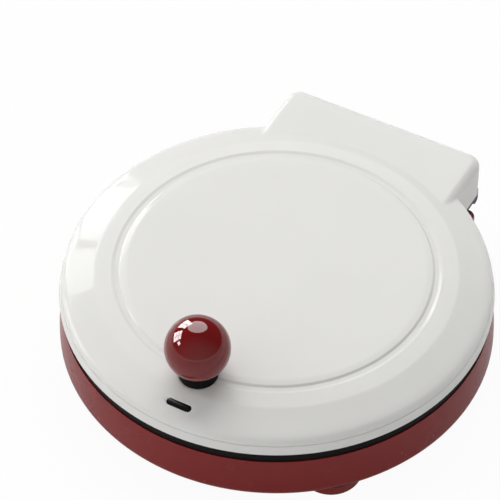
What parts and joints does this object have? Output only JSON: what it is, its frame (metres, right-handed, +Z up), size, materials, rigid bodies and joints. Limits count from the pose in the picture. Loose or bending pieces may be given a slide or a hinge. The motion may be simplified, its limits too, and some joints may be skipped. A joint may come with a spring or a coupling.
{
  "type": "electric pizza maker",
  "caption": "Round countertop pizza maker: dished lower plate in a red base, hinged off-white lid with upper plate, rear hinge hood and ball knob.",
  "frame": {"origin": "centre of the bounding box, on the surface that the foot pads stand on", "axes": "+Z up, +Y towards the hinge hood at the back, the ball knob at the front towards -Y, +X to the right as seen from the front"},
  "size_m": [0.3426, 0.3618, 0.1367],
  "materials": {
    "white_lid": "high gloss moulded off-white",
    "red_base": "satin gloss moulded dark red",
    "red_ball": "polished deep red",
    "black_plastic": "fine matt moulded black",
    "grey_plastic": "satin dark grey",
    "dark_window": "smoked clear plastic",
    "non_stick": "black non-stick coat on cast aluminium",
    "sheet_steel": "plain rolled sheet",
    "screw_steel": "zinc plated",
    "blacked_steel": "chemically blacked",
    "element_steel": "heat darkened tube",
    "black_rubber": "matt",
    "white_ceramic": "unglazed",
    "lamp_glass": "orange neon lamp cap"
  },
  "bodies": {
    "base": {"base_shell": "red_base", "foot_1": "red_base", "foot_2": "red_base", "foot_3": "red_base", "foot_4": "red_base", "foot_pad_1": "black_rubber", "foot_pad_2": "black_rubber", "foot_pad_3": "black_rubber", "foot_pad_4": "black_rubber", "base_ring": "black_plastic", "lower_plate": "non_stick", "lower_heating_element": "element_steel", "lower_reflector": "sheet_steel", "thermostat": "white_ceramic", "thermal_fuse": "sheet_steel", "terminal_block": "white_ceramic", "cord_gland": "black_rubber", "base_screw_1": "screw_steel", "base_screw_2": "screw_steel", "base_screw_3": "screw_steel", "base_screw_4": "screw_steel", "hinge_pin_left": "blacked_steel", "hinge_pin_right": "blacked_steel"},
    "lid": {"lid_shell": "white_lid", "lid_inner_ring": "black_plastic", "upper_plate": "non_stick", "upper_heating_element": "element_steel", "upper_reflector": "sheet_steel", "reflector_screw": "screw_steel", "lid_screw_1": "screw_steel", "lid_screw_2": "screw_steel", "lid_screw_3": "screw_steel", "lid_screw_4": "screw_steel", "hinge_plate": "grey_plastic", "hinge_plate_screw_1": "screw_steel", "hinge_plate_screw_2": "screw_steel", "hinge_plate_screw_3": "screw_steel", "hinge_plate_screw_4": "screw_steel", "knob_ball": "red_ball", "knob_collar": "black_plastic", "knob_bolt": "screw_steel", "knob_washer": "screw_steel", "indicator_window": "dark_window", "lamp_holder": "white_ceramic", "power_lamp": "lamp_glass", "ready_lamp": "lamp_glass"}
  },
  "joints": [
    {"name": "lid_hinge", "type": "hinge", "parent": "base", "child": "lid", "pos_m": [0, 0.1767, 0.0305], "axis": [-1, 0, 0], "range_deg": [0, 95]}
  ]
}
